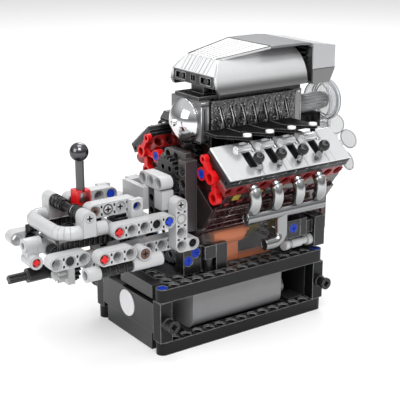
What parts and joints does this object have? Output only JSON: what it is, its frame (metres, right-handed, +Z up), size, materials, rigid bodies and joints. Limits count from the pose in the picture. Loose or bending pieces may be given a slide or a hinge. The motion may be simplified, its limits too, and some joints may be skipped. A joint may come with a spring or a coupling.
{
  "type": "model v8 engine",
  "caption": "Working brick-built V8 engine model with crankshaft, pistons, gear train, twin-rotor supercharger, fan, gearbox and shift lever on a stand.",
  "frame": {"origin": "centre of the model's outline on the floor plane", "axes": "+X from the gearbox towards the fan, along the crankshaft; -Y towards the viewer's near side; +Z up"},
  "size_m": [0.235, 0.104, 0.166],
  "materials": {
    "frame_black": "satin black plastic",
    "pin_black": "black plastic",
    "panel_grey": "dark grey smooth plastic",
    "disc_white": "plain white disc",
    "box_grey": "mid grey plastic",
    "smoke_clear": "smoke tinted clear plastic",
    "motor_orange": "orange plastic",
    "block_dark": "dark grey plastic",
    "block_black": "black plastic",
    "smoke_red": "smoke tinted clear plastic with a red cast",
    "red": "red plastic",
    "cover_black": "black plastic",
    "chrome": "mirror chrome",
    "silver": "silver plastic",
    "light_grey": "light grey plastic",
    "clear": "clear plastic",
    "metal_grey": "grey metallic plastic",
    "gear_black": "black plastic",
    "piston_olive": "olive yellow plastic",
    "pin_blue": "blue plastic",
    "pin_brown": "brown plastic",
    "ball_dark": "dark metallic plastic"
  },
  "bodies": {
    "engine": {"base_frame": "frame_black", "stand_pins": "pin_black", "base_panels": "panel_grey", "end_disc": "disc_white", "base_plates": "panel_grey", "battery_box": "box_grey", "sump_cover": "smoke_clear", "drive_motor": "motor_orange", "engine_mounts": "block_dark", "block_end_plates": "block_black", "engine_block": "smoke_red", "head_beams": "red", "head_connectors": "red", "cover_bases": "cover_black", "valve_covers": "chrome", "ignition_posts": "pin_black", "intake_manifold": "block_black", "injector_plates": "cover_black", "blower_case": "smoke_clear", "blower_nose": "chrome", "rear_supports": "light_grey", "clear_disc": "clear", "scoop_front": "block_dark", "scoop_sides": "chrome", "scoop_wedge": "chrome", "scoop_top_panel": "metal_grey", "scoop_rear_box": "metal_grey", "exhaust_runners": "chrome", "exhaust_pipes": "chrome", "timing_columns": "block_dark", "gearbox_bulkheads": "light_grey", "gearbox_beams": "light_grey", "upper_beams": "light_grey", "tube_guard": "light_grey", "connectors": "light_grey", "black_axles": "pin_black", "pins_blue": "pin_blue", "pins_red": "red", "pins_brown": "pin_brown"},
    "crank": {"crankshaft": "silver"},
    "idler_low": {"front_idler_low": "gear_black"},
    "idler_high": {"front_idler_high": "gear_black"},
    "drive_idler": {"rotor_idler": "gear_black"},
    "rotor_a": {"rotor_low": "silver"},
    "rotor_b": {"rotor_high": "silver"},
    "rear_gear": {"rear_idler": "gear_black"},
    "fan_wheel": {"fan": "clear"},
    "near_outer": {"pistons_near_outer": "piston_olive"},
    "near_inner": {"pistons_near_inner": "piston_olive"},
    "far_outer": {"pistons_far_outer": "piston_olive"},
    "far_inner": {"pistons_far_inner": "piston_olive"},
    "countershaft": {"layshaft": "gear_black"},
    "shift_ring": {"clutch_ring": "red"},
    "output": {"output_shaft": "pin_black"},
    "free_gear": {"idle_gear": "gear_black"},
    "side_gear": {"small_gear": "light_grey"},
    "shift_lever": {"lever_block": "red", "lever_bar": "pin_black", "lever_ball": "ball_dark"},
    "switch": {"power_knob": "box_grey"}
  },
  "joints": [
    {"name": "crank_spin", "type": "hinge", "parent": "engine", "child": "crank", "pos_m": [0, 0, 0.052], "axis": [1, 0, 0], "continuous": true},
    {"name": "idler_low_spin", "type": "hinge", "parent": "engine", "child": "idler_low", "pos_m": [-0.014, 0, 0.072], "axis": [1, 0, 0], "continuous": true},
    {"name": "idler_high_spin", "type": "hinge", "parent": "engine", "child": "idler_high", "pos_m": [-0.014, 0, 0.092], "axis": [1, 0, 0], "continuous": true},
    {"name": "rotor_idler_spin", "type": "hinge", "parent": "engine", "child": "drive_idler", "pos_m": [0.002, 0, 0.1065], "axis": [1, 0, 0], "continuous": true},
    {"name": "rotor_low_spin", "type": "hinge", "parent": "engine", "child": "rotor_a", "pos_m": [0.035, 0, 0.1185], "axis": [1, 0, 0], "continuous": true},
    {"name": "rotor_high_spin", "type": "hinge", "parent": "engine", "child": "rotor_b", "pos_m": [0.035, 0, 0.1295], "axis": [1, 0, 0], "continuous": true},
    {"name": "rear_idler_spin", "type": "hinge", "parent": "engine", "child": "rear_gear", "pos_m": [0.084, 0, 0.076], "axis": [1, 0, 0], "continuous": true},
    {"name": "fan_spin", "type": "hinge", "parent": "engine", "child": "fan_wheel", "pos_m": [0.115, 0, 0.092], "axis": [1, 0, 0], "continuous": true},
    {"name": "layshaft_spin", "type": "hinge", "parent": "engine", "child": "countershaft", "pos_m": [-0.064, 0, 0.068], "axis": [1, 0, 0], "continuous": true},
    {"name": "output_spin", "type": "hinge", "parent": "engine", "child": "output", "pos_m": [-0.09, 0, 0.052], "axis": [1, 0, 0], "continuous": true},
    {"name": "idle_gear_spin", "type": "hinge", "parent": "engine", "child": "free_gear", "pos_m": [-0.08, 0, 0.068], "axis": [1, 0, 0], "continuous": true},
    {"name": "small_gear_spin", "type": "hinge", "parent": "engine", "child": "side_gear", "pos_m": [-0.091, -0.008, 0.052], "axis": [1, 0, 0], "continuous": true},
    {"name": "near_outer_slide", "type": "slide", "parent": "engine", "child": "near_outer", "axis": [0, -0.6, 0.8], "range_m": [-0.0054, 0.0006]},
    {"name": "near_inner_slide", "type": "slide", "parent": "engine", "child": "near_inner", "axis": [0, -0.6, 0.8], "range_m": [-0.0006, 0.0054]},
    {"name": "far_outer_slide", "type": "slide", "parent": "engine", "child": "far_outer", "axis": [0, 0.6, 0.8], "range_m": [-0.0054, 0.0006]},
    {"name": "far_inner_slide", "type": "slide", "parent": "engine", "child": "far_inner", "axis": [0, 0.6, 0.8], "range_m": [-0.0006, 0.0054]},
    {"name": "shift_lever_swing", "type": "hinge", "parent": "engine", "child": "shift_lever", "pos_m": [-0.072, 0, 0.086], "axis": [0, 1, 0], "range_deg": [-12, 12]},
    {"name": "clutch_ring_slide", "type": "slide", "parent": "countershaft", "child": "shift_ring", "axis": [1, 0, 0], "range_m": [-0.0027, 0.0027]},
    {"name": "switch_turn", "type": "hinge", "parent": "engine", "child": "switch", "pos_m": [0.052, -0.019, 0.015], "axis": [1, 0, 0], "range_deg": [-30, 30]}
  ],
  "couplings": [
    {"joint": "idler_low_spin", "follows": "crank_spin", "ratio": -1.5},
    {"joint": "idler_high_spin", "follows": "crank_spin", "ratio": 1},
    {"joint": "rotor_idler_spin", "follows": "crank_spin", "ratio": -1.2308},
    {"joint": "rotor_low_spin", "follows": "crank_spin", "ratio": 1.4545},
    {"joint": "rotor_high_spin", "follows": "crank_spin", "ratio": -1.4545},
    {"joint": "rear_idler_spin", "follows": "crank_spin", "ratio": -1},
    {"joint": "fan_spin", "follows": "crank_spin", "ratio": 3},
    {"joint": "layshaft_spin", "follows": "crank_spin", "ratio": -1},
    {"joint": "output_spin", "follows": "crank_spin", "ratio": 1.6667},
    {"joint": "idle_gear_spin", "follows": "crank_spin", "ratio": -1.6667},
    {"joint": "small_gear_spin", "follows": "crank_spin", "ratio": -1.6667},
    {"joint": "near_inner_slide", "follows": "near_outer_slide", "ratio": -1},
    {"joint": "far_inner_slide", "follows": "far_outer_slide", "ratio": -1},
    {"joint": "clutch_ring_slide", "follows": "shift_lever_swing", "m_per_rad": -0.0125}
  ]
}
